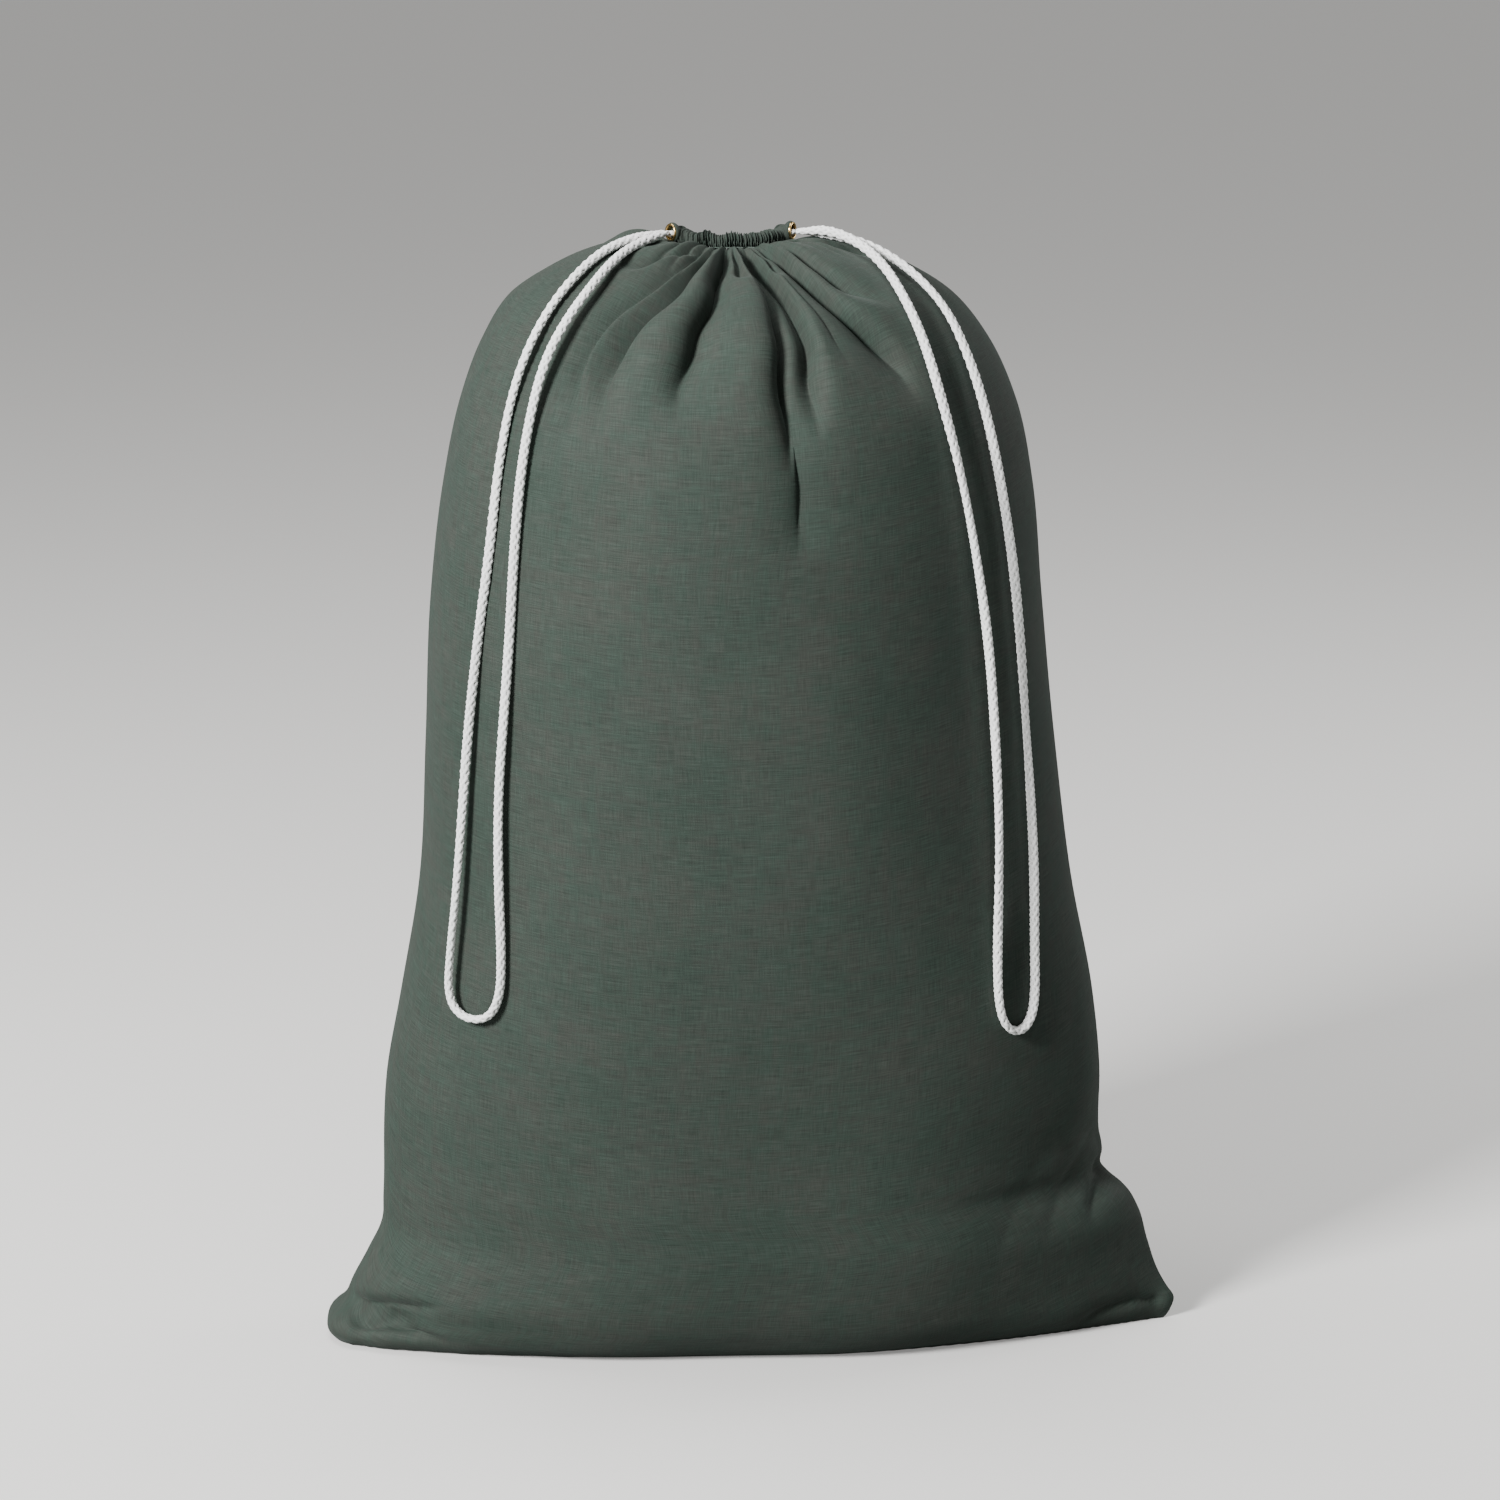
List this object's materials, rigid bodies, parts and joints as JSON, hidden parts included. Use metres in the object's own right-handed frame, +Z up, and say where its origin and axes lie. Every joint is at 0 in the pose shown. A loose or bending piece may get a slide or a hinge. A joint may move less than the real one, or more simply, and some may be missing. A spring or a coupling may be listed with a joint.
{
  "type": "laundry bag",
  "caption": "Drawstring laundry bag, filled out and standing: a sewn cloth sack with a gathered casing, brass eyelets and a white braided cord that hangs as two long loops.",
  "frame": {"origin": "on the floor, under the middle of the filled bag", "axes": "+Z up, -Y towards the front panel, X along the flat width from side seam to side seam"},
  "size_m": [0.6012, 0.332, 0.7851],
  "materials": {
    "cloth": "plain weave, soft sheen",
    "seam_cloth": "plain weave, soft sheen",
    "casing_cloth": "plain weave, soft sheen",
    "thread": "sewing thread",
    "brass": "polished",
    "cord": "round braid"
  },
  "bodies": {
    "bag": {"front_panel": "cloth", "back_panel": "cloth", "bottom_seam": "seam_cloth", "left_side_seam": "seam_cloth", "right_side_seam": "seam_cloth", "front_casing": "casing_cloth", "back_casing": "casing_cloth", "front_hem_stitching": "thread", "back_hem_stitching": "thread", "left_eyelet": "brass", "left_washer": "brass", "right_eyelet": "brass", "right_washer": "brass", "front_cord_run": "cord", "back_cord_run": "cord"},
    "left_loop_upper": {"left_loop_upper": "cord"},
    "left_loop_lower": {"left_loop_lower": "cord"},
    "right_loop_upper": {"right_loop_upper": "cord"},
    "right_loop_lower": {"right_loop_lower": "cord"}
  },
  "joints": [
    {"name": "left_lift", "type": "hinge", "parent": "bag", "child": "left_loop_upper", "pos_m": [-0.05747, -0.01301, 0.7775], "axis": [-0.5736, 0.8191, 0], "range_deg": [0, 70]},
    {"name": "left_bend", "type": "hinge", "parent": "left_loop_upper", "child": "left_loop_lower", "pos_m": [-0.16675, -0.10925, 0.605], "axis": [-0.6422, 0.7665, 0], "range_deg": [0, 37.8]},
    {"name": "right_lift", "type": "hinge", "parent": "bag", "child": "right_loop_upper", "pos_m": [0.02977, -0.00948, 0.778], "axis": [-0.4226, -0.9063, 0], "range_deg": [0, 70]},
    {"name": "right_bend", "type": "hinge", "parent": "right_loop_upper", "child": "right_loop_lower", "pos_m": [0.1505, -0.10525, 0.605], "axis": [-0.6939, -0.7201, 0], "range_deg": [0, 37.8]}
  ],
  "couplings": [
    {"joint": "left_bend", "follows": "left_lift", "ratio": 0.54},
    {"joint": "right_bend", "follows": "right_lift", "ratio": 0.54}
  ]
}
